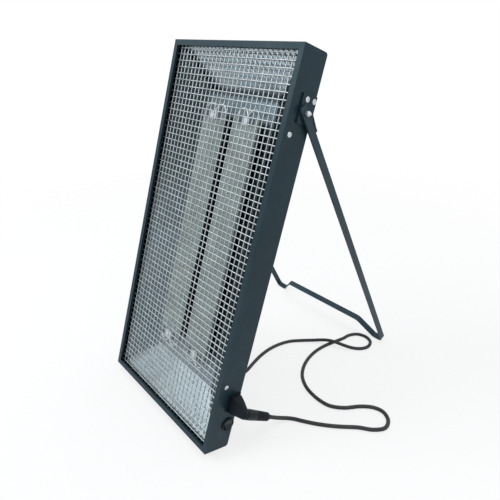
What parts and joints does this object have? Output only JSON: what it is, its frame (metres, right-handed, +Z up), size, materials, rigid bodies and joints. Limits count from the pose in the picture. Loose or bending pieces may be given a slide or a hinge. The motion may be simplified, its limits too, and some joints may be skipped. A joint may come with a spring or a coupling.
{
  "type": "infrared panel heater",
  "caption": "Tall flat infrared heater: wire mesh over a mirror pan with flat emitter plates, standing on a folding U-shaped strip leg, with rocker switch and mains lead.",
  "frame": {"origin": "on the floor, at the middle of the footprint of the standing heater without its lead", "axes": "+X to the right seen from the front, +Y to the rear towards the feet, +Z up; the housing leans back 18 degrees"},
  "size_m": [0.4745, 0.4854, 0.6079],
  "materials": {
    "shell_paint": "satin powder coat",
    "leg_paint": "satin powder coat",
    "mesh_steel": "bright zinc",
    "mirror_sheet": "mirror polished",
    "bright_steel": "bright zinc",
    "plate_coat": "matt ceramic coat",
    "ceramic": "glazed",
    "cutout_case": "moulded",
    "wire_cover": "glass sleeve",
    "black_plastic": "moulded",
    "rocker_plastic": "gloss",
    "contact_brass": "plated",
    "cord_rubber": "matt"
  },
  "bodies": {
    "housing": {"housing_shell": "shell_paint", "rear_cover": "shell_paint", "rear_cover_screws": "bright_steel", "grille_spacer": "shell_paint", "grille_uprights": "mesh_steel", "grille_cross_wires": "mesh_steel", "reflector_trough": "mirror_sheet", "reflector_top_end": "mirror_sheet", "reflector_bottom_end": "mirror_sheet", "reflector_rivets": "bright_steel", "emitter_left": "plate_coat", "emitter_right": "plate_coat", "emitter_clips": "bright_steel", "emitter_posts": "ceramic", "emitter_leads": "bright_steel", "terminal_block": "ceramic", "thermal_cutout": "cutout_case", "inner_wires": "wire_cover", "bracket_left": "leg_paint", "bracket_right": "leg_paint", "bracket_rivets": "bright_steel", "pivot_bolts": "bright_steel", "pivot_washers": "bright_steel", "pivot_nuts": "bright_steel", "inlet_body": "black_plastic", "inlet_pins": "contact_brass", "switch_body": "black_plastic", "connector_body": "black_plastic", "strain_relief": "cord_rubber", "lead_cord": "cord_rubber", "lead_coil": "cord_rubber", "lead_tail": "cord_rubber", "mains_plug": "black_plastic", "mains_plug_pins": "contact_brass"},
    "leg": {"support_leg": "leg_paint"},
    "rocker": {"switch_rocker": "rocker_plastic"}
  },
  "joints": [
    {"name": "leg_fold", "type": "hinge", "parent": "housing", "child": "leg", "pos_m": [0, -0.04958, 0.52065], "axis": [-1, 0, 0], "range_deg": [0, 43]},
    {"name": "rocker_tilt", "type": "hinge", "parent": "housing", "child": "rocker", "pos_m": [0.148, -0.19524, 0.04645], "axis": [0, 0.9511, -0.309], "range_deg": [0, 24]}
  ]
}
